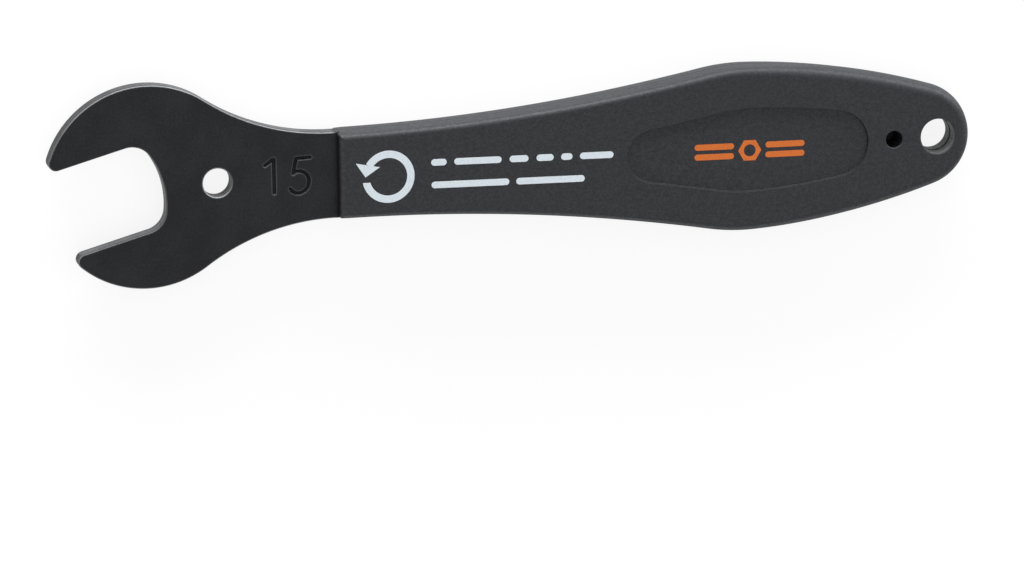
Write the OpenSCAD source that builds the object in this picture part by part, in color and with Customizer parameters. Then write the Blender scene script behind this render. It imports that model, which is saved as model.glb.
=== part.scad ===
// Flat open-ended wrench: a pressed steel blade with a plastic grip moulded round its tang.
// Millimetres. X runs from the jaw to the tail, Z is the thickness.
// The origin is the centre of the round hole in the blade's head, at mid-thickness.

/* [Blade] */
// Thickness of the steel
plate_t = 3.0; // [2:0.1:4]
// Radius of the round head
head_r = 17.5; // [15.5:0.5:22]
// Distance from the small hole back to the centre of the head
head_back = 12; // [10:0.5:15]
// Width across the flats of the jaw
jaw_gap = 15.2; // [13:0.1:17]
// Angle of the jaw to the handle
jaw_angle = 15; // [0:1:25]
// How far the throat reaches past the centre of the head
throat_reach = 2.8; // [1:0.1:4]
// Radius of the bottom of the throat
throat_r = 15; // [11:0.5:20]
// Radius of the two corners of the throat
throat_corner_r = 3.8; // [2.5:0.1:5]
// Rounding of the two tips of the jaw
tip_r = 1.3; // [0.6:0.1:2]
// Radius of the round hole in the head
head_hole_r = 2.45; // [1.5:0.05:3.5]
// Width of the neck at its narrowest, just before the grip
neck_w = 14.9; // [12.5:0.1:17]
// Radius of the hollow between head and neck
neck_r = 38; // [25:0.5:50]

/* [Tang] */
// Width of the tang inside the grip
tang_w = 10.6; // [8:0.1:11.5]
// Width of the tang at its far end
tang_end_w = 6.6; // [5:0.1:8]
// Radius of the round windows that key the plastic
key_r = 2.2; // [1:0.1:3]
// Distance between the keying windows
key_pitch = 26; // [12:1:30]
// Radius of the locating hole at the far end
pin_r = 1.5; // [1:0.05:2]
// Distance from the locating hole to the centre of the hang hole
pin_to_hang = 7.9; // [7:0.1:9]

/* [Grip outline] */
// Where the grip starts, from the hole in the head
grip_start = 20.6; // [20.4:0.1:24]
// Width of the grip at its front end
front_w = 14.6; // [13:0.1:16]
// Half of the greatest width
belly_half = 14.3; // [12.5:0.1:16]
// Radius of the long hollow flare to the belly
flare_r = 328; // [280:2:360]
// Radius of the bend at the belly
belly_r = 35; // [20:1:50]
// Radius of the long taper behind the belly
taper_r = 115; // [100:1:160]
// Radius of the round tail
tail_r = 9.0; // [8:0.1:10]
// Where the centre of the round tail lies
tail_x = 123.2; // [119:0.1:127]

/* [Grip section] */
// Half thickness at the front end
front_half_t = 3.7; // [3.4:0.1:4.4]
// Half thickness from the middle to the belly
belly_half_t = 3.7; // [3.3:0.1:4.5]
// Half thickness at the tail
tail_half_t = 2.7; // [2.6:0.1:3.6]
// Rounding of the long edges from the front to the belly
edge_r = 1.0; // [0.5:0.1:1.6]
// Rounding of the edge round the tail
tail_edge_r = 2.1; // [1.2:0.1:2.4]

/* [Grip features] */
// Radius of the hang hole
hang_r = 3.0; // [2:0.1:4]
// Chamfer round the mouths of the hang hole
hang_chamfer = 0.3; // [0.2:0.1:0.8]
// Distance from the hang hole to the tip of the tail
hang_to_tip = 6.0; // [5.8:0.1:7]
// Distance from the grip's outline to the edge of the sunk panel
panel_inset = 6.9; // [6:0.1:7.6]
// Depth of the sunk panel
panel_depth = 0.45; // [0.2:0.05:0.8]
// Radius of the panel's end towards the jaw
panel_front_r = 4.7; // [4:0.1:5.5]
// Radius of the panel's end towards the tail
panel_rear_r = 5.9; // [5:0.1:6.4]
// How far the pin hole goes on below the tang
pin_below = 0.9; // [0.3:0.1:1.2]

/* [Hidden] */
$fn = 96;
// A cut runs past the surface that it opens by this much
past = 1;
// Arcs that run into each other cross by this much, so that they meet in one clean corner
lap = 0.01;
// Steps on each stretch of the grip's outline and on each rounded edge
flare_steps = 14;
belly_steps = 5;
taper_steps = 9;
tail_steps = 14;
round_steps = 5;

// Head and neck
head_x = -head_back;
neck_half = neck_w / 2;
hollow_y = neck_half + neck_r;
hollow_x = head_x + sqrt(pow(head_r + neck_r - lap, 2) - pow(hollow_y, 2));
join_share = (head_r + past) / (head_r + neck_r);
join_x = head_x + (hollow_x - head_x) * join_share;
join_y = hollow_y * join_share;

// Jaw, in a frame at the centre of the head with its mouth towards -X
jaw_half = jaw_gap / 2;
throat_x = throat_reach - throat_r;
corner_y = jaw_half - throat_corner_r + lap;
corner_x = throat_x + sqrt(pow(throat_r - throat_corner_r + lap, 2) - pow(corner_y, 2));
corner_angle = atan2(corner_y, corner_x - throat_x);
tip_y = jaw_half + tip_r - lap;
tip_x = -sqrt(pow(head_r - tip_r + lap, 2) - pow(tip_y, 2));

// Grip outline: flare, belly, taper and tail are arcs that touch
flare_x = grip_start + past;
flare_y = front_w / 2 + flare_r;
belly_y = belly_half - belly_r;
belly_x = flare_x + sqrt(pow(flare_r + belly_r, 2) - pow(flare_y - belly_y, 2));
span = norm([tail_x - belly_x, -belly_y]);
along = (pow(taper_r - belly_r, 2) - pow(taper_r - tail_r, 2) + pow(span, 2)) / (2 * span);
aside = sqrt(pow(taper_r - belly_r, 2) - pow(along, 2));
taper_x = belly_x + (along * (tail_x - belly_x) - aside * belly_y) / span;
taper_y = belly_y + (-along * belly_y - aside * (tail_x - belly_x)) / span;
flare_end = asin((flare_x - belly_x) / (flare_r + belly_r));
belly_end = asin((belly_x - taper_x) / (taper_r - belly_r));
taper_end = asin((tail_x - taper_x) / (taper_r - tail_r));
tip_of_tail = tail_x + tail_r;
hang_x = tip_of_tail - hang_to_tip;
pin_x = hang_x - pin_to_hang;

// Sunk panel: the same arcs, moved inwards, with two round ends
panel_front_x = flare_x + sqrt(pow(flare_r + panel_inset + panel_front_r, 2) - pow(flare_y, 2));
panel_rear_x = taper_x + sqrt(pow(taper_r - panel_inset - panel_rear_r, 2) - pow(taper_y, 2));
panel_front_end = asin((flare_x - panel_front_x) / (flare_r + panel_inset + panel_front_r));
panel_rear_end = asin((panel_rear_x - taper_x) / (taper_r - panel_inset - panel_rear_r));

// A point of an arc and the direction that its outline faces there
function arc(x, y, r, from, to, steps, skip = 0) = [
    for (i = [skip:steps])
        let (a = from + (to - from) * i / steps)
        [x + r * sin(a), y + r * cos(a), a]
];

// Half of the grip's outline, from the middle of its front end to the tip of the tail
grip_side = concat(
    [[grip_start, front_w / 2, 0]],
    arc(flare_x, flare_y, -flare_r, 0, flare_end, flare_steps),
    arc(belly_x, belly_y, belly_r, flare_end, belly_end, belly_steps, 1),
    arc(taper_x, taper_y, taper_r, belly_end, taper_end, taper_steps, 1),
    arc(tail_x, 0, tail_r, taper_end, 90, tail_steps, 1)
);

// Half of the panel's outline, from its front end to its rear end
panel_side = concat(
    arc(panel_front_x, 0, panel_front_r, -90, panel_front_end, tail_steps),
    arc(flare_x, flare_y, -flare_r - panel_inset, panel_front_end, flare_end, belly_steps, 1),
    arc(belly_x, belly_y, belly_r - panel_inset, flare_end, belly_end, belly_steps, 1),
    arc(taper_x, taper_y, taper_r - panel_inset, belly_end, panel_rear_end, belly_steps, 1),
    arc(panel_rear_x, 0, panel_rear_r, panel_rear_end, 90, tail_steps, 1)
);

// Smooth step from 0 to 1 between two places
function ease(x, from, to) =
    let (s = max(0, min(1, (x - from) / (to - from)))) s * s * (3 - 2 * s);
// Half thickness of the grip and the rounding of its edge at a place along X
swell_end = grip_start + 32;
function half_t(x) =
    front_half_t + (belly_half_t - front_half_t) * ease(x, grip_start, swell_end)
    - (belly_half_t - tail_half_t) * ease(x, belly_x - belly_r / 4, tip_of_tail + tail_r);
function round_r(x) = edge_r + (tail_edge_r - edge_r) * ease(x, belly_x - belly_r / 3, tail_x - tail_r);

// One closed ring: a side, then the same side mirrored, with its points on the axis only once
function ring(side, inset, height) =
    let (
        half = [for (p = side) [p.x - inset(p.x) * sin(p[2]), p.y - inset(p.x) * cos(p[2]), height(p.x)]],
        last = len(half) - 1,
        first = abs(half[0].y) < 0.001 ? 1 : 0
    )
    concat(
        [for (i = [0:last - 1]) half[i]],
        [[half[last].x, 0, half[last].z]],
        [for (i = [last - 1:-1:first]) [half[i].x, -half[i].y, half[i].z]]
    );

// A solid between rings that lie one above the other
module ring_stack(rings) {
    m = len(rings[0]);
    flat_front = m % 2;
    n = (m + 2 - flat_front) / 2;
    top = (len(rings) - 1) * m;
    cap = [
        for (i = [0:n - 2])
            let (across = m - flat_front - i)
            across >= m ? [i, i + 1, across - 1] : i == n - 2 ? [i, i + 1, across] : [i, i + 1, across - 1, across]
    ];
    walls = [
        for (j = [0:len(rings) - 2]) for (i = [0:m - 1])
            let (a = j * m + i, b = j * m + (i + 1) % m)
            each [[b, b + m, a + m], [b, a + m, a]]
    ];
    polyhedron(
        points = [for (r = rings) each r],
        faces = concat(
            [for (f = cap) [for (i = [len(f) - 1:-1:0]) f[i]]],
            walls,
            [for (f = cap) [for (v = f) v + top]]
        ),
        convexity = 6
    );
}

// The jaw's opening, with its mouth towards -X
module jaw_opening() {
    reach = 2 * head_r;
    translate([-reach, -jaw_half]) square([reach + corner_x, jaw_gap]);
    for (s = [-1, 1]) translate([corner_x, s * corner_y]) circle(r = throat_corner_r);
    intersection() {
        translate([throat_x, 0]) circle(r = throat_r);
        polygon([
            [throat_x, 0],
            [throat_x + reach * cos(corner_angle), reach * sin(corner_angle)],
            [throat_x + reach * cos(corner_angle), -reach * sin(corner_angle)]
        ]);
    }
    for (s = [-1, 1]) scale([1, s]) tip_corner();
}

// What the rounding takes off one tip of the jaw
module tip_corner() {
    out = (head_r + 2 * past) / (head_r - tip_r);
    difference() {
        polygon([
            [tip_x, tip_y],
            [tip_x * out, tip_y * out],
            [-head_r - 2 * past, tip_y],
            [-head_r - 2 * past, jaw_half - past],
            [tip_x, jaw_half - past]
        ]);
        translate([tip_x, tip_y]) circle(r = tip_r);
    }
}

// An upright round cut through the plate
module plate_bore(x, y, r) {
    translate([x, y, -plate_t]) cylinder(h = 2 * plate_t, r = r);
}

// Neck between the two hollows that run into the round head
module neck() {
    difference() {
        translate([0, 0, -plate_t / 2]) linear_extrude(plate_t)
            polygon([
                [head_x, 0],
                [join_x, join_y],
                [grip_start, join_y],
                [grip_start, -join_y],
                [join_x, -join_y]
            ]);
        for (s = [-1, 1]) plate_bore(hollow_x, s * hollow_y, neck_r);
    }
}

// The tang: parallel as far as the belly, then tapered to a round end, with windows for the plastic
module tang(start) {
    difference() {
        union() {
            translate([0, 0, -plate_t / 2]) linear_extrude(plate_t)
                polygon([
                    [start, -tang_w / 2],
                    [belly_x, -tang_w / 2],
                    [pin_x, lap - tang_end_w / 2],
                    [pin_x, tang_end_w / 2 - lap],
                    [belly_x, tang_w / 2],
                    [start, tang_w / 2]
                ]);
            translate([pin_x, 0, -plate_t / 2]) cylinder(h = plate_t, r = tang_end_w / 2);
        }
        for (x = [belly_x - 2 * key_pitch, belly_x - key_pitch, belly_x]) plate_bore(x, 0, key_r);
    }
}

// Steel blade with its jaw, head hole, neck and tang
module blade() {
    color([0.16, 0.16, 0.17])
    difference() {
        union() {
            translate([head_x, 0, -plate_t / 2]) cylinder(h = plate_t, r = head_r);
            neck();
            tang(grip_start - past);
        }
        translate([head_x, 0, -plate_t]) rotate(jaw_angle) linear_extrude(2 * plate_t) jaw_opening();
        plate_bore(0, 0, head_hole_r);
        plate_bore(pin_x, 0, pin_r);
    }
}

// The grip's solid form before its openings: rounded edges that change along its length
module grip_form() {
    steps = [for (j = [0:2 * round_steps + 1]) j];
    ring_stack([
        for (j = steps)
            let (
                upper = j > round_steps,
                a = 90 * (upper ? j - round_steps - 1 : round_steps - j) / round_steps,
                sign = upper ? 1 : -1
            )
            ring(
                grip_side,
                function (x) round_r(x) * (1 - cos(a)),
                function (x) sign * (half_t(x) - round_r(x) * (1 - sin(a)))
            )
    ]);
}

// The sunk panel on the face, as deep at its rear end as at its front
module panel_cut() {
    ring_stack([
        for (up = [-panel_depth, past])
            ring(
                panel_side,
                function (x) 0,
                function (x) half_t(x) + up
            )
    ]);
}

// Plastic grip with its hang hole, pin hole and panel
module grip() {
    hang_half = half_t(hang_x);
    color([0.2, 0.2, 0.22])
    difference() {
        grip_form();
        panel_cut();
        tang(grip_start - past);
        translate([hang_x, 0, -hang_half - past]) cylinder(h = 2 * (hang_half + past), r = hang_r);
        for (s = [0, 1]) mirror([0, 0, s])
            translate([hang_x, 0, hang_half - hang_chamfer])
                cylinder(h = 2 * hang_chamfer, r1 = hang_r, r2 = hang_r + 2 * hang_chamfer);
        translate([pin_x, 0, -plate_t / 2 - pin_below])
            cylinder(h = plate_t / 2 + pin_below + hang_half + past, r = pin_r);
    }
}

blade();
grip();
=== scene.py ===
import math

import bpy
import numpy as np
from mathutils import Matrix, Vector
from mathutils.geometry import delaunay_2d_cdt


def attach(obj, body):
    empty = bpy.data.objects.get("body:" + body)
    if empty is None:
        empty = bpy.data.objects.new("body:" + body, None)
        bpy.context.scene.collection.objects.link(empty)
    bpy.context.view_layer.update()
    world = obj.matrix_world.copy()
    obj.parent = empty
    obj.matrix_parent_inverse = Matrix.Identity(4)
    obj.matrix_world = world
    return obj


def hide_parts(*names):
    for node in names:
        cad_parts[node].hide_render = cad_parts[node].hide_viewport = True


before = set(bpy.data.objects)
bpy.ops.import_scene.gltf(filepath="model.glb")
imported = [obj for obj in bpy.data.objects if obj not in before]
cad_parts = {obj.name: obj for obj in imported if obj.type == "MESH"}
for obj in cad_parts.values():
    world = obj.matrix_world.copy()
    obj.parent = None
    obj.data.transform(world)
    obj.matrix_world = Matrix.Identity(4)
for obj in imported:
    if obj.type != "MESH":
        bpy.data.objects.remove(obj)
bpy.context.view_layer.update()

# Lengths are in millimetres, and turn to metres where a mesh or the camera is made
MM = 0.001
QUARTER, FULL = math.pi / 2, 2 * math.pi

# Blade, as in the CAD, with its head a hair inside
PLATE_T = 3.0
HEAD_R = 17.49
HEAD_X = -12.0
HEAD_HOLE_R = 2.45
JAW_HALF = 7.6
JAW_ANGLE = math.radians(15)
THROAT_REACH = 2.8
THROAT_R = 15.0
CORNER_R = 3.8
TIP_R = 1.3
NECK_HALF = 7.45
NECK_R = 38.0
TANG_HALF = 5.3
TANG_END_HALF = 3.3
KEY_R = 2.2
KEY_PITCH = 26.0
PIN_R = 1.5

# Grip, as in the CAD, but for an outline that follows the photo to a tenth of a millimetre
GRIP_START = 20.6
FRONT_HALF = 7.4
FRONT_CORNER_R = 0.5
BELLY_HALF = 14.3
FLARE_R = 328.0
BELLY_R = 35.0
TAPER_R = 115.0
TAIL_R = 9.1
TAIL_X = 123.08
HANG_X = 126.2
HANG_R = 3.0
PIN_X = 118.3
PIN_FLOOR_Z = -2.4
BELLY_T, TAIL_T = 3.7, 2.7
PANEL_INSET, PANEL_DEPTH = 7.0, 0.45
PANEL_FRONT_R, PANEL_REAR_R = 4.7, 5.8

# Looks only: rounded edges
EDGE_STEPS = 7
BLADE_EDGE, HEAD_HOLE_EDGE, KEY_EDGE, PIN_EDGE = 0.25, 0.3, 0.2, 0.1
GRIP_EDGE, TAIL_EDGE, TAIL_BACK_EDGE = 1.0, 1.6, 1.9
FRONT_EDGE, FRONT_BACK_EDGE = 1.2, 1.4
HANG_MOUTH, PIN_MOUTH = 0.3, 0.16

# Looks only: lean of the grip's sides in radians, and the fine groove of the parting line along them
LEAN, TAIL_LEAN = 0.06, 0.30
PARTING_HALF, PARTING_DEPTH, PARTING_SLOPE = 0.09, 0.035, 0.35

# Looks only: how far the grip stays under the CAD's faces, and half the thickness of the ink
SKIN = 0.02
INK = 0.014


# Lines and points in the plane


def arc(cx, cy, r, a0, a1, step=0.6):
    """Points of an arc from angle a0 to a1 in radians, both ends included."""
    n = max(2, math.ceil(abs(a1 - a0) * abs(r) / step))
    a = np.linspace(a0, a1, n + 1)
    return np.stack([cx + r * np.cos(a), cy + r * np.sin(a)], 1)


def bow(cx, cy, r, a0, a1, step=0.6):
    """An arc whose angles are measured from +Y towards +X, as in the CAD."""
    return arc(cx, cy, r, QUARTER - a0, QUARTER - a1, step)


def line(p, q, step=0.8):
    """Points from p to q, both included."""
    p, q = np.array(p, float), np.array(q, float)
    n = max(1, math.ceil(np.linalg.norm(q - p) / step))
    return p + (q - p) * np.linspace(0, 1, n + 1)[:, None]


def join(*parts):
    """One closed loop from stretches that follow each other, with no point twice."""
    pts = np.concatenate(parts)
    keep = [0]
    for i in range(1, len(pts)):
        if np.linalg.norm(pts[i] - pts[keep[-1]]) > 1e-4:
            keep.append(i)
    if np.linalg.norm(pts[keep[-1]] - pts[keep[0]]) < 1e-4:
        keep.pop()
    return pts[keep]


def both_sides(*parts):
    """A closed anticlockwise loop from its upper half, which runs towards +X and ends on the axis."""
    upper = np.concatenate(parts)
    return join(upper, upper[::-1] * [1, -1])[::-1]


def polygon(corners, step):
    """A closed loop through the corners, with points along its sides."""
    return join(*[line(p, q, step) for p, q in zip(corners, [*corners[1:], corners[0]])])


def circle(cx, cy, r, n):
    """A closed ring of points, anticlockwise."""
    a = np.linspace(0, FULL, n, endpoint=False)
    return np.stack([cx + r * np.cos(a), cy + r * np.sin(a)], 1)


def pill(x0, x1, y, height):
    """A bar with round ends, anticlockwise."""
    r = height / 2
    return join(
        line((x0 + r, y - r), (x1 - r, y - r), 2),
        arc(x1 - r, y, r, -QUARTER, QUARTER, 0.12),
        line((x1 - r, y + r), (x0 + r, y + r), 2),
        arc(x0 + r, y, r, QUARTER, 3 * QUARTER, 0.12),
    )


def staggered(x0, x1, y0, y1, step):
    """Points of a grid in which every other row is moved by half a step."""
    gx, gy = np.meshgrid(np.arange(x0, x1, step), np.arange(y0, y1, step), indexing="ij")
    gx = gx + step / 2 * (np.arange(gx.shape[1]) % 2)
    return np.column_stack([gx.ravel(), gy.ravel()])


def turned(pts, angle, about):
    """Points turned by an angle in radians, clockwise where it is negative."""
    c, s = math.cos(angle), math.sin(angle)
    return (pts - about) @ np.array([[c, s], [-s, c]]) + about


def outward(loop):
    """The unit direction that an anticlockwise loop faces at each of its points."""
    t = np.roll(loop, -1, 0) - np.roll(loop, 1, 0)
    t /= np.linalg.norm(t, axis=1)[:, None]
    return np.stack([t[:, 1], -t[:, 0]], 1)


def inside(pts, loop):
    """Which points lie inside a closed loop."""
    x, y = pts[:, 0][:, None], pts[:, 1][:, None]
    x0, y0 = loop[:, 0], loop[:, 1]
    x1, y1 = np.roll(x0, -1), np.roll(y0, -1)
    with np.errstate(divide="ignore", invalid="ignore"):
        cross = (y0 > y) != (y1 > y)
        at = x0 + (y - y0) * (x1 - x0) / (y1 - y0)
    return (np.count_nonzero(cross & (x < at), axis=1) % 2) == 1


def stroke_distance(pts, strokes):
    """The distance from each point to the nearest stroke, each an open line of points."""
    best = np.full(len(pts), 1e9)
    for stroke in strokes:
        stroke = np.array(stroke, float)
        for a, b in zip(stroke[:-1], stroke[1:]):
            ab = b - a
            t = np.clip(((pts - a) @ ab) / max(ab @ ab, 1e-12), 0, 1)
            best = np.minimum(best, np.linalg.norm(pts - (a + t[:, None] * ab), axis=1))
    return best


def near(pts, loop):
    """The distance from each point to a closed loop's line, which may hold the same point twice."""
    return stroke_distance(pts, [np.vstack([loop, loop[:1]])])


def smooth(s):
    """Rises softly from 0 to 1 as s does."""
    s = np.clip(s, 0, 1)
    return s * s * (3 - 2 * s)


def ease(x, a, b):
    """Rises softly from 0 to 1 as x goes from a to b."""
    return smooth((x - a) / (b - a))


class Shell:
    """A mesh in the making: its points, the way that the surface faces at each, how far its colour is
    lightened there (partly worn coating, partly painted highlight, sheen and light), how much painted shade
    darkens and dulls it, and the faces."""

    def __init__(self):
        self.points, self.normals, self.wear, self.grime, self.faces = [], [], [], [], []
        self.count = 0

    def add(self, xy, z, normal, wear=0.0, grime=0.0):
        """Adds points and returns their ids. All but xy may be one value for all of them."""
        k = len(xy)
        self.points.append(np.column_stack([xy, np.broadcast_to(np.asarray(z, float), (k,))]))
        normal = np.broadcast_to(np.asarray(normal, float), (k, 3))
        self.normals.append(normal / np.linalg.norm(normal, axis=1)[:, None])
        self.wear.append(np.broadcast_to(np.asarray(wear, float), (k,)))
        self.grime.append(np.broadcast_to(np.asarray(grime, float), (k,)))
        self.count += k
        return np.arange(self.count - k, self.count)

    def wall(self, rings):
        """Adds rings of the same number of points, each given as add takes it, and the faces between each
        ring and the next one, which is under or round it. Returns the first and last ring as borders."""
        ids = [self.add(*ring) for ring in rings]
        for a, b in zip(ids, ids[1:]):
            self.faces += np.stack([a, b, np.roll(b, -1), np.roll(a, -1)], 1).tolist()
        return (ids[0], rings[0][0]), (ids[-1], rings[-1][0])

    def face(self, borders, free=(), surface=None, up=True):
        """Fills the first border with triangles and leaves the others open. A border is the ids of a closed
        ring and its points, free is points inside, and surface gives all else that add takes for them."""
        pts, ids, edges = [], [], []
        for ring, loop in borders:
            base, n = len(pts), len(loop)
            pts += loop.tolist()
            ids += ring.tolist()
            edges += [(base + i, base + (i + 1) % n) for i in range(n)]
        if len(free):
            pts += free.tolist()
            ids += self.add(free, *surface(free)).tolist()
        out = delaunay_2d_cdt([Vector(p) for p in pts], edges, [], 0, 1e-7, True)
        xy = np.array([[v.x, v.y] for v in out[0]])
        source = np.array([o[0] if len(o) else -1 for o in out[3]])
        tri = np.array(out[2], int)
        middle = xy[tri].mean(1)
        a, b, c = xy[tri[:, 0]], xy[tri[:, 1]], xy[tri[:, 2]]
        area = (b[:, 0] - a[:, 0]) * (c[:, 1] - a[:, 1]) - (b[:, 1] - a[:, 1]) * (c[:, 0] - a[:, 0])
        keep = inside(middle, borders[0][1]) & (np.abs(area) > 1e-9) & (source[tri] >= 0).all(1)
        for _, loop in borders[1:]:
            keep &= ~inside(middle, loop)
        for corners, turn in zip(source[tri[keep]].tolist(), area[keep]):
            if (turn > 0) != up:
                corners.reverse()
            self.faces.append([ids[i] for i in corners])

    def build(self, name, material, body="root"):
        """Makes the object, without the points that no face uses."""
        used = np.zeros(self.count, bool)
        for f in self.faces:
            used[f] = True
        new = np.cumsum(used) - 1
        mesh = bpy.data.meshes.new(name)
        points = np.concatenate(self.points)[used] * MM
        mesh.from_pydata(points.tolist(), [], [new[f].tolist() for f in self.faces])
        mesh.materials.append(material)
        mesh.polygons.foreach_set("use_smooth", np.ones(len(self.faces), bool))
        for label, values in (("wear", self.wear), ("grime", self.grime)):
            layer = mesh.attributes.new(label, "FLOAT", "POINT")
            layer.data.foreach_set("value", np.concatenate(values)[used].astype(np.float32))
        mesh.update()
        mesh.normals_split_custom_set_from_vertices(np.concatenate(self.normals)[used].tolist())
        o = bpy.data.objects.new(name, mesh)
        bpy.context.scene.collection.objects.link(o)
        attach(o, body)
        return o


# Outlines. The grip's arcs (flare, belly, taper and tail) touch each other

flare_x = GRIP_START + 1
flare_y = FRONT_HALF + FLARE_R
belly_y = BELLY_HALF - BELLY_R
BELLY_X = flare_x + math.sqrt((FLARE_R + BELLY_R) ** 2 - (flare_y - belly_y) ** 2)
span = math.hypot(TAIL_X - BELLY_X, belly_y)
along = ((TAPER_R - BELLY_R) ** 2 - (TAPER_R - TAIL_R) ** 2 + span ** 2) / (2 * span)
aside = math.sqrt((TAPER_R - BELLY_R) ** 2 - along ** 2)
taper_x = BELLY_X + (along * (TAIL_X - BELLY_X) - aside * belly_y) / span
taper_y = belly_y + (-along * belly_y - aside * (TAIL_X - BELLY_X)) / span
flare_end = math.asin((flare_x - BELLY_X) / (FLARE_R + BELLY_R))
belly_end = math.asin((BELLY_X - taper_x) / (TAPER_R - BELLY_R))
taper_end = math.asin((TAIL_X - taper_x) / (TAPER_R - TAIL_R))


def grip_outline():
    r = FRONT_CORNER_R
    return both_sides(
        line((GRIP_START, 0), (GRIP_START, FRONT_HALF - r), 0.5),
        arc(GRIP_START + r, FRONT_HALF - r, r, math.pi, QUARTER, 0.1),
        line((GRIP_START + r, FRONT_HALF), (flare_x, FRONT_HALF), 0.4),
        bow(flare_x, flare_y, -FLARE_R, 0, flare_end),
        bow(BELLY_X, belly_y, BELLY_R, flare_end, belly_end),
        bow(taper_x, taper_y, TAPER_R, belly_end, taper_end),
        bow(TAIL_X, 0, TAIL_R, taper_end, QUARTER, 0.45),
    )


def panel_outline():
    """Runs beside the grip's outline, with round ends that touch the flare and the taper."""
    front_reach = FLARE_R + PANEL_INSET + PANEL_FRONT_R
    rear_reach = TAPER_R - PANEL_INSET - PANEL_REAR_R
    front_x = flare_x + math.sqrt(front_reach ** 2 - flare_y ** 2)
    rear_x = taper_x + math.sqrt(rear_reach ** 2 - taper_y ** 2)
    front_end = math.asin((flare_x - front_x) / front_reach)
    rear_end = math.asin((rear_x - taper_x) / rear_reach)
    return both_sides(
        bow(front_x, 0, PANEL_FRONT_R, -QUARTER, front_end, 0.4),
        bow(flare_x, flare_y, -FLARE_R - PANEL_INSET, front_end, flare_end),
        bow(BELLY_X, belly_y, BELLY_R - PANEL_INSET, flare_end, belly_end),
        bow(taper_x, taper_y, TAPER_R - PANEL_INSET, belly_end, rear_end),
        bow(rear_x, 0, PANEL_REAR_R, rear_end, QUARTER, 0.4),
    )


def blade_outline():
    """Neck, hollows, head and jaw, and the tang that runs on inside the grip."""
    c, s = math.cos(JAW_ANGLE), math.sin(JAW_ANGLE)

    def jaw(pts):
        return pts @ np.array([[c, s], [-s, c]]) + np.array([HEAD_X, 0.0])

    hollow_y = NECK_HALF + NECK_R
    hollow_x = HEAD_X + math.sqrt((HEAD_R + NECK_R) ** 2 - hollow_y ** 2)
    lean = math.atan2(hollow_y, hollow_x - HEAD_X)
    throat_x = THROAT_REACH - THROAT_R
    corner_y = JAW_HALF - CORNER_R
    corner_x = throat_x + math.sqrt((THROAT_R - CORNER_R) ** 2 - corner_y ** 2)
    corner_a = math.atan2(corner_y, corner_x - throat_x)
    tip_y = JAW_HALF + TIP_R
    tip_x = -math.sqrt((HEAD_R - TIP_R) ** 2 - tip_y ** 2)
    tip_a = math.atan2(tip_y, tip_x)
    neck_end = GRIP_START + 0.5
    return join(
        line((neck_end, NECK_HALF), (hollow_x, NECK_HALF)),
        arc(hollow_x, hollow_y, NECK_R, 3 * QUARTER, math.pi + lean),
        arc(HEAD_X, 0, HEAD_R, lean, tip_a + JAW_ANGLE),
        jaw(arc(tip_x, tip_y, TIP_R, tip_a, 3 * QUARTER, 0.2)),
        jaw(line((tip_x, JAW_HALF), (corner_x, JAW_HALF))),
        jaw(arc(corner_x, corner_y, CORNER_R, QUARTER, corner_a, 0.3)),
        jaw(arc(throat_x, 0, THROAT_R, corner_a, -corner_a)),
        jaw(arc(corner_x, -corner_y, CORNER_R, -corner_a, -QUARTER, 0.3)),
        jaw(line((corner_x, -JAW_HALF), (tip_x, -JAW_HALF))),
        jaw(arc(tip_x, -tip_y, TIP_R, QUARTER, FULL - tip_a, 0.2)),
        arc(HEAD_X, 0, HEAD_R, FULL - tip_a + JAW_ANGLE, FULL - lean),
        arc(hollow_x, -hollow_y, NECK_R, math.pi - lean, QUARTER),
        line((hollow_x, -NECK_HALF), (neck_end, -NECK_HALF)),
        line((neck_end, -TANG_HALF), (BELLY_X, -TANG_HALF), 2),
        line((BELLY_X, -TANG_HALF), (PIN_X, -TANG_END_HALF), 2),
        arc(PIN_X, 0, TANG_END_HALF, -QUARTER, QUARTER, 0.5),
        line((PIN_X, TANG_END_HALF), (BELLY_X, TANG_HALF), 2),
        line((BELLY_X, TANG_HALF), (neck_end, TANG_HALF), 2),
    )


def half_t(x):
    """Half thickness of the grip at a place along X: level as far as the belly, then thinner towards the
    tail. It is a hair under the CAD's, to leave room for the ink."""
    return BELLY_T - (BELLY_T - TAIL_T) * ease(x, BELLY_X - BELLY_R / 4, TAIL_X + 2 * TAIL_R) - SKIN


def slope_t(x):
    """How fast the half thickness grows along X."""
    return (half_t(x + 0.05) - half_t(x - 0.05)) / 0.1


def up_normal(x):
    """The way that the grip's face looks at a place along X."""
    return np.column_stack([-slope_t(x), np.zeros(len(x)), np.ones(len(x))])


# Materials


def new_material(name):
    """A material with its node tree, its shader and the coordinates that follow the object."""
    m = bpy.data.materials.new(name)
    m.use_nodes = True
    t = m.node_tree
    return m, t, t.nodes["Principled BSDF"], node(t, "ShaderNodeTexCoord").outputs["Object"]


def node(t, kind, **settings):
    n = t.nodes.new(kind)
    for k, v in settings.items():
        setattr(n, k, v)
    return n


def noise(t, where, scale, detail, rough):
    n = node(t, "ShaderNodeTexNoise")
    n.inputs["Scale"].default_value = scale
    n.inputs["Detail"].default_value = detail
    n.inputs["Roughness"].default_value = rough
    t.links.new(where, n.inputs["Vector"])
    return n.outputs["Fac"]


def ramp(t, source, lo, hi, a, b):
    """Maps a value from lo..hi to a..b."""
    n = node(t, "ShaderNodeMapRange")
    n.inputs["From Min"].default_value = lo
    n.inputs["From Max"].default_value = hi
    n.inputs["To Min"].default_value = a
    n.inputs["To Max"].default_value = b
    t.links.new(source, n.inputs["Value"])
    return n.outputs["Result"]


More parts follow.
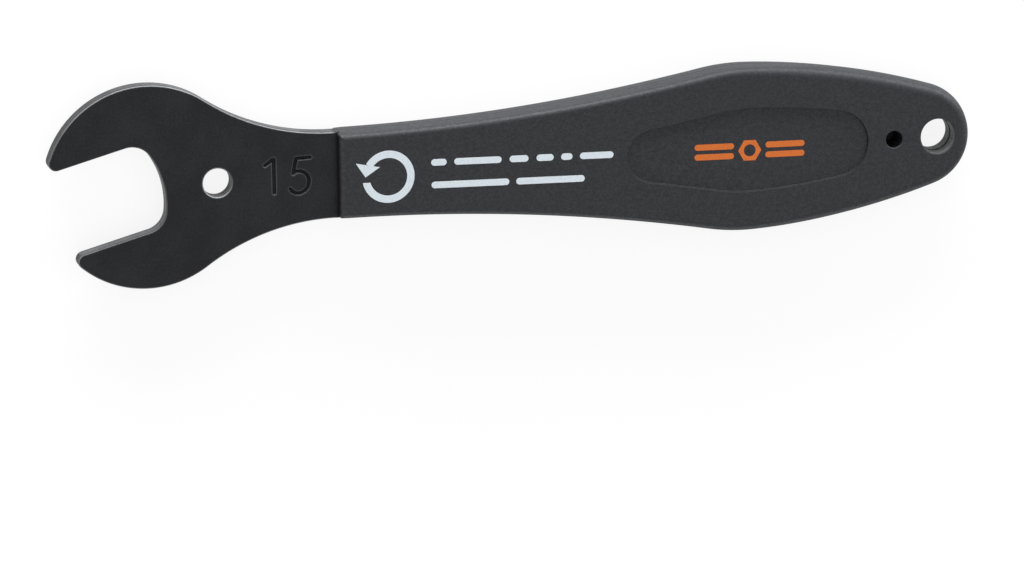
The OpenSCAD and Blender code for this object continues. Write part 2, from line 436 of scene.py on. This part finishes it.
def mix(t, factor, a, b):
    """Goes from colour a to colour b, each a tuple or a socket, as the factor goes from 0 to 1."""
    n = node(t, "ShaderNodeMix", data_type="RGBA")
    for socket, colour in ((6, a), (7, b)):
        if isinstance(colour, tuple):
            n.inputs[socket].default_value = (*colour, 1)
        else:
            t.links.new(colour, n.inputs[socket])
    t.links.new(factor, n.inputs[0])
    return n.outputs[2]


def maths(t, operation, a, b):
    """One sum of two values, each a number or a socket."""
    n = node(t, "ShaderNodeMath", operation=operation)
    for i, v in enumerate((a, b)):
        if isinstance(v, (int, float)):
            n.inputs[i].default_value = v
        else:
            t.links.new(v, n.inputs[i])
    return n.outputs[0]


def blend(t, a, b, share):
    """Two noises in one, with b's share of the whole."""
    return maths(t, "ADD", maths(t, "MULTIPLY", a, 1 - share), maths(t, "MULTIPLY", b, share))


def bump(t, height, strength, distance):
    n = node(t, "ShaderNodeBump")
    n.inputs["Strength"].default_value = strength
    n.inputs["Distance"].default_value = distance
    t.links.new(height, n.inputs["Height"])
    return n.outputs["Normal"]


def painted_on(t, label):
    """One of the two values that the mesh carries: its lightening, partly worn coating and partly painted
    highlight, and its painted shade.
    """
    return node(t, "ShaderNodeAttribute", attribute_name=label).outputs["Fac"]


def grip_material():
    m, t, b, where = new_material("grip_plastic")
    grain = blend(t, noise(t, where, 3600, 2.0, 0.6), noise(t, where, 1400, 2.0, 0.5), 0.35)
    broad = noise(t, where, 60, 3.0, 0.5)
    wear, grime = painted_on(t, "wear"), painted_on(t, "grime")
    tone = mix(t, ramp(t, grain, 0.41, 0.61, 0, 1), (0.0138, 0.0148, 0.0181), (0.0322, 0.0341, 0.0397))
    tone = mix(t, ramp(t, broad, 0.35, 0.65, 0, 0.25), tone, (0.0221, 0.0235, 0.0277))
    # The colour turns pale where the mesh lightens it: painted light on the wall inside the hang hole, and
    # lighter round edges towards the front
    lightened = maths(t, "MULTIPLY", wear, ramp(t, grain, 0.42, 0.60, 0.4, 1.0))
    tone = mix(t, lightened, tone, (0.21, 0.215, 0.225))
    # Painted shade turns the colour nearly black and, below, takes away the shine
    t.links.new(mix(t, grime, tone, (0.006, 0.006, 0.007)), b.inputs["Base Color"])
    t.links.new(ramp(t, grain, 0.3, 0.7, 0.62, 0.48), b.inputs["Roughness"])
    b.inputs["IOR"].default_value = 1.5
    t.links.new(ramp(t, grime, 0, 1, 0.41, 0.05), b.inputs["Specular IOR Level"])
    t.links.new(bump(t, grain, 0.55, 0.00006), b.inputs["Normal"])
    return m


def steel_material():
    m, t, b, where = new_material("steel")
    fine = noise(t, where, 2600, 3.0, 0.6)
    cloud = noise(t, where, 170, 4.0, 0.6)
    wear, grime = painted_on(t, "wear"), painted_on(t, "grime")
    speck = ramp(t, blend(t, cloud, fine, 0.5), 0.43, 0.60, 0, 1)
    tone = mix(t, speck, (0.0062, 0.0067, 0.0082), (0.0150, 0.0158, 0.0180))
    # The colour turns pale grey where the mesh lightens it: round edges that are partly worn and partly a
    # painted highlight, painted sheen on the walls, and painted highlights on the shoulders of the struck
    # digits
    lightened = maths(t, "MULTIPLY", wear, ramp(t, cloud, 0.3, 0.7, 0.5, 1.0))
    t.links.new(mix(t, lightened, tone, (0.50, 0.51, 0.53)), b.inputs["Base Color"])
    t.links.new(ramp(t, fine, 0.3, 0.7, 0.50, 0.36), b.inputs["Roughness"])
    b.inputs["IOR"].default_value = 1.5
    # Painted shade: where the mesh carries it, the shine is taken away, which darkens the black steel
    t.links.new(ramp(t, grime, 0, 1, 0.31, 0.03), b.inputs["Specular IOR Level"])
    t.links.new(bump(t, fine, 0.25, 0.00002), b.inputs["Normal"])
    return m


def ink_material(name, colour, dark):
    m, t, b, where = new_material(name)
    fine = noise(t, where, 3600, 2.0, 0.6)
    t.links.new(mix(t, ramp(t, fine, 0.3, 0.6, 0, 1), dark, colour), b.inputs["Base Color"])
    t.links.new(ramp(t, fine, 0.3, 0.7, 0.62, 0.48), b.inputs["Roughness"])
    t.links.new(bump(t, fine, 0.3, 0.00003), b.inputs["Normal"])
    return m


def floor_material():
    """Pale to the camera and in reflections, and no more than grey as a light on the object."""
    m, t, b, where = new_material("floor")
    t.nodes.remove(b)
    paper = node(t, "ShaderNodeBsdfDiffuse")
    soft = noise(t, where, 9, 2.0, 0.5)
    t.links.new(mix(t, soft, (0.215, 0.215, 0.215), (0.225, 0.225, 0.225)), paper.inputs["Color"])
    glow = node(t, "ShaderNodeEmission")
    ray = node(t, "ShaderNodeLightPath").outputs
    seen = maths(t, "MAXIMUM", ray["Is Camera Ray"], ray["Is Glossy Ray"])
    seen = maths(t, "MAXIMUM", seen, ray["Is Transmission Ray"])
    t.links.new(maths(t, "MULTIPLY", seen, 0.845), glow.inputs["Strength"])
    both = node(t, "ShaderNodeAddShader")
    t.links.new(paper.outputs[0], both.inputs[0])
    t.links.new(glow.outputs[0], both.inputs[1])
    t.links.new(both.outputs[0], t.nodes["Material Output"].inputs["Surface"])
    return m


# Blade: a stamped plate with rounded edges and its size struck into the face

# How far up the plate's wall, as a share of its half height, and how deep the marks of shearing lie
SHEARED = [(0.18, 0.0), (0.0, 0.01), (-0.35, 0.02), (-0.6, 0.0)]

# Strokes of the struck number
DIGITS = [
    [(8.2, 2.45), (8.95, 2.95), (9.55, 3.42), (9.72, 3.42)],
    [(9.72, 3.42), (9.72, -2.42)],
    [(15.95, 3.36), (13.55, 3.3), (13.02, 0.72)],
    [(13.02, 0.72), (13.6, 1.08), (14.3, 1.1), (14.95, 0.85), (15.45, 0.35), (15.72, -0.35), (15.72, -1.1),
     (15.42, -1.85), (14.9, -2.4), (14.2, -2.7), (13.5, -2.68), (12.9, -2.38), (12.5, -1.9)],
]
GROOVE_DEPTH, SHOULDER = 0.28, 0.03


def struck(xy):
    """Height over the plate's face: grooves with soft shoulders where the digits are struck in."""
    d = stroke_distance(xy, DIGITS)
    groove = -GROOVE_DEPTH * (1 - smooth((d - 0.1) / 0.26))
    return groove + SHOULDER * np.exp(-((d - 0.45) / 0.1) ** 2)


def struck_face(xy):
    """What Shell.add takes for points on the plate's face, with a painted highlight along the shoulders of
    the strokes and painted shade in the grooves.
    """
    e = 0.01
    z = struck(xy)
    dx = (struck(xy + [e, 0]) - struck(xy - [e, 0])) / (2 * e)
    dy = (struck(xy + [0, e]) - struck(xy - [0, e])) / (2 * e)
    # Painted highlight along the shoulders of the strokes
    lightened = 0.12 * np.exp(-((stroke_distance(xy, DIGITS) - 0.4) / 0.08) ** 2)
    normal = np.column_stack([-dx, -dy, np.ones(len(xy))])
    # Painted shade in the grooves, more the deeper they are
    return PLATE_T / 2 + z, normal, lightened, 0.6 * np.clip(-z / 0.3, 0, 1)


def plate_wall(loop, edge):
    """Rings down one wall of the plate, from its face to its back. Its round edges are lighter, partly worn
    and partly a painted highlight, most on the outer edges; the wall between them carries a painted sheen,
    most in the jaw, and is darker and duller. Where a wall faces left both lightenings are weaker and
    painted shade darkens it more. Inside the grip there is no lightening."""
    away = outward(loop)
    wall = PLATE_T / 2 - edge
    bare = 1 - ease(loop[:, 0], GRIP_START - 0.7, GRIP_START - 0.2)
    in_jaw = np.hypot(loop[:, 0] - HEAD_X, loop[:, 1]) < HEAD_R - 1.5
    in_jaw &= loop[:, 0] < HEAD_X + THROAT_REACH + 1
    left = np.where(in_jaw, 0, np.clip(-away[:, 0], 0, 1))
    # Painted highlight on the round edges, partly wear, and painted sheen on the walls; both are weaker on
    # walls that face left, which is painted shade
    edge_wear = np.where(in_jaw, 0.3, 0.75) * (1 - 0.4 * left) * bare
    wall_wear = np.where(in_jaw, 0.27, 0.18) * (1 - 0.75 * left) * bare
    flat = np.column_stack([away, np.zeros(len(loop))])

    def rounded(side):
        rings = []
        for a in np.linspace(QUARTER, 0, EDGE_STEPS + 1):
            normal = flat * math.cos(a) + [0, 0, side * math.sin(a)]
            inset, z = edge * (1 - math.cos(a)), side * (wall + edge * math.sin(a))
            rings.append((loop - away * inset, z, normal, edge_wear * math.sin(2 * a) ** 2))
        return rings

    # The wall between the round edges is darker and duller, and painted shade makes it more so where it
    # faces left
    shaded = 0.55 + 0.3 * left
    middle = [(loop - away * dent, share * wall, flat, wall_wear, shaded) for share, dent in SHEARED]
    return rounded(1) + middle + rounded(-1)[::-1]


def blade():
    holes = [(0, HEAD_HOLE_R, 96, HEAD_HOLE_EDGE)]
    holes += [(BELLY_X - k * KEY_PITCH, KEY_R, 40, KEY_EDGE) for k in range(3)]
    holes += [(PIN_X, PIN_R + 0.06, 40, PIN_EDGE)]
    walls = [plate_wall(blade_outline(), BLADE_EDGE)]
    walls += [plate_wall(circle(x, 0, r, n)[::-1], edge) for x, r, n, edge in holes]
    s = Shell()
    tops, bottoms = zip(*[s.wall(rings) for rings in walls])
    fine = staggered(7.2, 16.9, -3.75, 4.4, 0.06)
    s.face(tops, fine[stroke_distance(fine, DIGITS) < 0.95], struck_face)
    s.face(bottoms, up=False)
    o = s.build("blade_plate", steel_material())
    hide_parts("blade")


# Grip: a loft with soft edges, a parting line, a sunk panel, a blind hole and a hang hole

# The panel's edge from the face down to its floor: inset, height, tilt of the surface in radians
PANEL_STEPS = [(-0.10, 0.0, 0), (-0.04, -0.015, 0.5), (0.0, -0.06, 1.0), (0.03, -0.16, 1.4),
               (0.055, -0.31, 1.4), (0.10, -0.41, 0.9), (0.17, -PANEL_DEPTH, 0)]

# Inside the hang hole the two halves of the mould meet in a fine step: radius, height, lift of the normal
UPPER_R, LOWER_R = HANG_R + 0.04, HANG_R - 0.05
HANG_STEPS = [(UPPER_R, 0.12, 0.0), (HANG_R + 0.12, 0.05, 0.6), (HANG_R + 0.12, -0.05, -0.6),
              (LOWER_R, -0.12, 0.3), (LOWER_R, -0.6, 0.0)]

# Floor of the blind hole: height, radius, and the two parts of the normal
PIN_STEPS = [(PIN_FLOOR_Z + 0.1, PIN_R, 1, 0), (PIN_FLOOR_Z, PIN_R - 0.1, 1, 1),
             (PIN_FLOOR_Z, PIN_R - 0.3, 0, 1)]


def edge_round(x, front_end, tail):
    """Radius of the grip's edge along X, with its own values at the front end and round the tail."""
    r = GRIP_EDGE + (tail - GRIP_EDGE) * ease(x, BELLY_X - 20, TAIL_X - 14)
    return front_end + (r - front_end) * ease(x, GRIP_START + 0.3, GRIP_START + 2.2)


def drawn_in(outer, away, d):
    """The grip's outline moved inwards by d at each point, mitred at the two corners of its front end."""
    loop = outer - away * d[:, None]
    front = outer[:, 0] < GRIP_START + 3
    x = np.where(front, np.maximum(loop[:, 0], GRIP_START + d), loop[:, 0])
    y = np.where(front, np.clip(loop[:, 1], d - FRONT_HALF, FRONT_HALF - d), loop[:, 1])
    return np.column_stack([x, y])


def grip_sides(outer):
    """Rings from the face to the back. Each side bulges a little towards its parting line, which is a fine
    groove, and ends in a round edge, lighter towards the front. Painted shade darkens and dulls the end that
    meets the blade."""
    x, away = outer[:, 0], outward(outer)
    lean = LEAN + (TAIL_LEAN - LEAN) * ease(x, BELLY_X, BELLY_X + 26)
    # The round edges are made lighter towards the front
    lightened = 0.08 * (1 - ease(x, BELLY_X - 25, BELLY_X))
    # Painted shade on the end face that meets the blade
    shaded = 0.8 * smooth((-away[:, 0] - 0.7) / 0.25) * (x < GRIP_START + 1)

    def half_side(side, r, heights):
        """One side of the parting line: round edge first, then the wall at the given heights."""
        wall = half_t(x) - r * (1 - np.sin(lean))
        bulge = wall * np.tan(lean) / 2
        rings = []
        for t in np.linspace(1, 0, 10):
            a = lean + (QUARTER - lean) * t
            loop = drawn_in(outer, away, bulge + r * (np.cos(lean) - np.cos(a)))
            z = side * (half_t(loop[:, 0]) - r * (1 - np.sin(a)))
            normal = np.column_stack([away * np.cos(a)[:, None], side * np.sin(a)])
            normal[:, 0] -= np.sin(a) * slope_t(loop[:, 0])
            rings.append((loop, z, normal, lightened * np.sin(2 * a) ** 2, shaded * np.cos(a) ** 8))
        for height in heights:
            z = side * height
            loop = drawn_in(outer, away, bulge * (z / wall) ** 2 + PARTING_DEPTH * (height == 0))
            lift = lean * z / wall - PARTING_SLOPE * side * (height == PARTING_HALF)
            rings.append((loop, z, np.column_stack([away, lift]), 0, shaded))
        return rings

    upper = half_side(1, edge_round(x, FRONT_EDGE, TAIL_EDGE), (0.8, 0.45, PARTING_HALF, 0))
    lower = half_side(-1, edge_round(x, FRONT_BACK_EDGE, TAIL_BACK_EDGE), (0.8, 0.45, PARTING_HALF))
    return upper + lower[::-1]


def panel_edge(panel):
    """Rings from the panel's floor up to the face, darkened and dulled by painted shade where the edge is
    steep.
    """
    facing = outward(panel)
    rings = []
    for inset, dz, tilt in PANEL_STEPS:
        loop = panel - facing * inset
        up = up_normal(loop[:, 0])
        normal = up / np.linalg.norm(up, axis=1)[:, None] * math.cos(tilt)
        normal[:, :2] -= facing * math.sin(tilt)
        # Painted shade, more where the edge is steeper
        rings.append((loop, half_t(loop[:, 0]) + dz, normal, 0, 0.55 * min(1.0, tilt)))
    return rings[::-1]


def mouth(base, x, r, width, steps, side=1):
    """Rings of a round hole's softened mouth, from the grip's face (or back, with side -1) to its wall."""
    rings = []
    for a in np.linspace(QUARTER, 0, steps + 1):
        xy = base * (r + width * (1 - math.cos(a))) + [x, 0]
        z = side * (half_t(xy[:, 0]) - width * (1 - math.sin(a)))
        rings.append((xy, z, np.column_stack([-base * math.cos(a), np.full(len(base), side * math.sin(a))])))
    return rings


def hang_hole():
    """Rings from the face to the back, with painted light that makes the wall inside lighter."""
    base = circle(0, 0, 1.0, 96)[::-1]
    rings = mouth(base, HANG_X, UPPER_R, HANG_MOUTH, 7)
    for r, z, lift in HANG_STEPS:
        lift = np.full(len(base), lift)
        rings.append((base * r + [HANG_X, 0], np.full(len(base), z), np.column_stack([-base, lift])))
    rings += mouth(base, HANG_X, LOWER_R, HANG_MOUTH, 7, side=-1)[::-1]
    rim = float(half_t(HANG_X)) - 0.1
    # Painted light: the wall between the two mouths is made lighter
    return [(xy, z, n, 0.55 * smooth((rim - np.abs(z)) / 0.3) * (n[:, 2] < 0.9)) for xy, z, n in rings]


def pin_hole():
    """Rings from the face down to the hole's floor."""
    base = circle(0, 0, 1.0, 64)[::-1]
    rings = mouth(base, PIN_X, PIN_R, PIN_MOUTH, 4)
    for z, r, out, lift in PIN_STEPS:
        normal = np.column_stack([-base * out, np.full(len(base), lift)])
        rings.append((base * r + [PIN_X, 0], z, normal))
    return rings


def grip():
    panel = panel_outline()
    s = Shell()
    side_top, side_back = s.wall(grip_sides(grip_outline()))
    floor_border, panel_top = s.wall(panel_edge(panel))
    hang_top, hang_back = s.wall(hang_hole())
    pin_top, pin_floor = s.wall(pin_hole())

    # Free points that let the face, the panel's floor and the back follow their curve
    grid = staggered(22, 131, -13, 13.1, 1.3)
    grid = grid[inside(grid, side_top[1])]
    grid = grid[near(grid, side_top[1]) > 0.6]
    off_hang = np.hypot(grid[:, 0] - HANG_X, grid[:, 1]) > HANG_R + HANG_MOUTH + 0.5
    off_pin = np.hypot(grid[:, 0] - PIN_X, grid[:, 1]) > PIN_R + 0.6
    on_face = grid[~inside(grid, panel) & (near(grid, panel) > 0.6) & off_hang & off_pin]
    on_floor = grid[inside(grid, floor_border[1])]
    on_floor = on_floor[near(on_floor, floor_border[1]) > 0.6]

    s.face([side_top, panel_top, hang_top, pin_top], on_face,
           lambda xy: (half_t(xy[:, 0]), up_normal(xy[:, 0])))
    s.face([floor_border], on_floor,
           lambda xy: (half_t(xy[:, 0]) - PANEL_DEPTH, up_normal(xy[:, 0])))
    s.face([side_back, hang_back], grid[off_hang],
           lambda xy: (-half_t(xy[:, 0]), up_normal(xy[:, 0]) * [1, 1, -1]), up=False)
    s.face([pin_floor], np.array([[PIN_X, 0.0]]),
           lambda xy: (PIN_FLOOR_Z, (0, 0, 1)))
    o = s.build("grip_body", grip_material())
    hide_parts("grip")


# Ink: thin plates that follow the grip's face

# All the print is turned by this angle
TILT = math.radians(-1.3)

# The arrow: part of a ring, and a head over its end
RING_X, RING_Y, RING_R, RING_IN_R = 28.98, -0.38, 4.52, 3.25
ARROW_HEAD = [(23.38, 2.25), (25.0, -0.25), (27.54, 1.37)]

# Two rows of bars: the height of each, and where its bars start and end
BAR_ROWS = [
    (0.81, [(36.4, 39.1), (40.4, 48.65), (50.05, 53.35), (54.75, 57.75), (59.05, 61.05), (62.35, 68.25)]),
    (-3.10, [(36.4, 49.95), (51.15, 63.15)]),
]

# The orange mark: a hexagon with a round hole between two pairs of bars
MARK = np.array([92.45, -0.15])
MARK_R, MARK_HOLE_R = 2.05, 1.05


def ink_plate(s, outline, level, holes=()):
    """One printed shape: a closed plate a hair thick, with its top just over the surface."""
    tops, unders = [], []
    for loop in [outline, *holes]:
        middle = half_t(loop[:, 0]) + level
        side = np.column_stack([outward(loop), np.zeros(len(loop))])
        tops.append((s.add(loop, middle + INK, (0, 0, 1)), loop))
        s.wall([(loop, middle + INK, side), (loop, middle - INK, side)])
        unders.append((s.add(loop, middle - INK, (0, 0, -1)), loop))
    s.face(tops)
    s.face(unders, up=False)


def prints():
    light = ink_material("print_light", (0.84, 0.93, 0.99), (0.75, 0.83, 0.89))
    orange = ink_material("print_orange", (0.80, 0.185, 0.022), (0.70, 0.150, 0.016))

    s = Shell()
    start, end = math.radians(190.5), FULL + math.radians(148)
    outer_edge = arc(RING_X, RING_Y, RING_R, start, end, 0.25)
    inner_edge = arc(RING_X, RING_Y, RING_IN_R, end, start + math.radians(4), 0.25)
    ink_plate(s, join(outer_edge, inner_edge), 0.0)
    ink_plate(s, polygon(ARROW_HEAD, 0.5), 0.004)
    arrow = s.build("print_arrow", light)

    s = Shell()
    for base, row in BAR_ROWS:
        for x0, x1 in row:
            bar = pill(x0, x1, base + 0.76, 1.15)
            ink_plate(s, turned(bar, TILT, np.array([36.35, base])), 0.0)
    bars = s.build("print_bars", light)

    s = Shell()
    hexagon = polygon(circle(*MARK, MARK_R, 6), 0.6)
    hole = circle(*MARK, MARK_HOLE_R, 40)[::-1]
    ink_plate(s, turned(hexagon, TILT, MARK), -PANEL_DEPTH, holes=[turned(hole, TILT, MARK)])
    for y in (0.86, -0.86):
        for x0, x1 in ((82.65, 89.65), (95.25, 102.25)):
            ink_plate(s, turned(pill(x0, x1, MARK[1] + y, 1.05), TILT, MARK), -PANEL_DEPTH)
    mark = s.build("print_mark", orange)


# Camera, fitted to the photo: turns in radians, where the part's origin lies from it, and focal length

YAW, PITCH, ROLL = 0.2363679384623041, 0.24261683955496627, -0.013586825843512212
OFFSET = np.array([-49.89162338834048, -17.831, 1163.5518998983105])
FOCAL_PIXELS, IMAGE_PIXELS = 6908.42, 1024
SENSOR = 36


def camera():
    def rot(i, j, angle):
        m = np.eye(3)
        m[i, i] = m[j, j] = math.cos(angle)
        m[i, j], m[j, i] = -math.sin(angle), math.sin(angle)
        return m

    turn = rot(0, 1, ROLL) @ np.diag([1.0, -1.0, -1.0]) @ rot(1, 2, PITCH) @ rot(2, 0, YAW)
    place = -turn.T @ OFFSET * MM
    cam = bpy.data.objects.new("camera", bpy.data.cameras.new("camera"))
    m = Matrix.Identity(4)
    for i in range(3):
        m[i][0], m[i][1], m[i][2] = turn[0][i], -turn[1][i], -turn[2][i]
        m[i][3] = place[i]
    cam.matrix_world = m
    cam.data.sensor_width = SENSOR
    cam.data.lens = FOCAL_PIXELS / IMAGE_PIXELS * SENSOR
    cam.data.clip_start, cam.data.clip_end = 0.05, 20
    bpy.context.scene.collection.objects.link(cam)
    bpy.context.scene.camera = cam


# Lights and floor, in metres

FLOOR_Z = -0.0037
MIDDLE = (0.05, 0, 0)

# The floor is a round tray: radius and height of its rim, from the flat outwards
TRAY = [(2.6, 0.0), (2.78, 0.05), (2.9, 0.18), (2.95, 0.4), (2.95, 2.2)]
TRAY_SIDES = 96


def lamp(name, at, size, power):
    data = bpy.data.lights.new(name, "AREA")
    data.shape = "RECTANGLE"
    data.size, data.size_y = size
    data.energy = power
    o = bpy.data.objects.new(name, data)
    o.location = at
    o.rotation_mode = "QUATERNION"
    o.rotation_quaternion = (Vector(MIDDLE) - Vector(at)).to_track_quat("-Z", "Y")
    bpy.context.scene.collection.objects.link(o)


def studio():
    world = bpy.data.worlds.new("studio")
    bpy.context.scene.world = world
    world.use_nodes = True
    back = world.node_tree.nodes["Background"]
    back.inputs["Color"].default_value = (1, 1, 1, 1)
    back.inputs["Strength"].default_value = 0.72
    lamp("key", (-0.05, 0.97, 0.18), (1.1, 0.28), 14.5)
    lamp("right", (0.85, 0.62, 0.07), (0.6, 0.12), 6)
    lamp("low", (0.05, -0.95, 0.20), (1.3, 0.3), 2.5)
    n = TRAY_SIDES
    points = [(*xy, FLOOR_Z + up) for r, up in TRAY for xy in circle(0, 0, r, n)]
    faces = [list(range(n))]
    for k in range(0, n * (len(TRAY) - 1), n):
        faces += [[k + i, k + n + i, k + n + (i + 1) % n, k + (i + 1) % n] for i in range(n)]
    mesh = bpy.data.meshes.new("floor")
    mesh.from_pydata(points, [], faces)
    mesh.materials.append(floor_material())
    floor = bpy.data.objects.new("floor", mesh)
    bpy.context.scene.collection.objects.link(floor)
    bpy.context.scene.view_settings.view_transform = "Standard"


camera()
blade()
grip()
prints()
studio()
